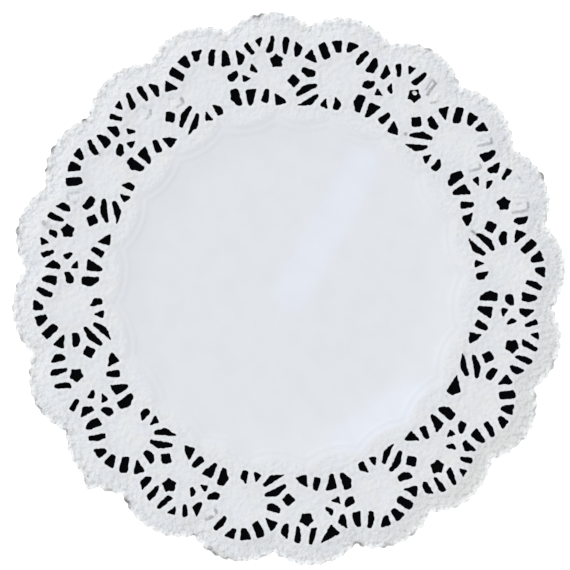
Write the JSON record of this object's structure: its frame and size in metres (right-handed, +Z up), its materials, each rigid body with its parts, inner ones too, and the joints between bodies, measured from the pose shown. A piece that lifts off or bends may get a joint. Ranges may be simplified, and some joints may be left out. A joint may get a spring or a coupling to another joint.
{
  "type": "paper doily",
  "caption": "Round white paper lace doily: a flat embossed sheet with a scalloped, finely toothed rim, a border of punched medallions and a plain middle ringed by raised scalloped lines.",
  "frame": {"origin": "centre of the doily on the underside of the sheet, which lies on z = 0", "axes": "+Z up, out of the embossed side; +Y towards the top of the picture, where the first plain round medallion lies a little clockwise of it"},
  "size_m": [0.2026, 0.2026, 0.0014],
  "materials": {
    "paper": "matt, uncoated, embossed"
  },
  "bodies": {
    "root": {"doily": "paper"}
  },
  "joints": []
}
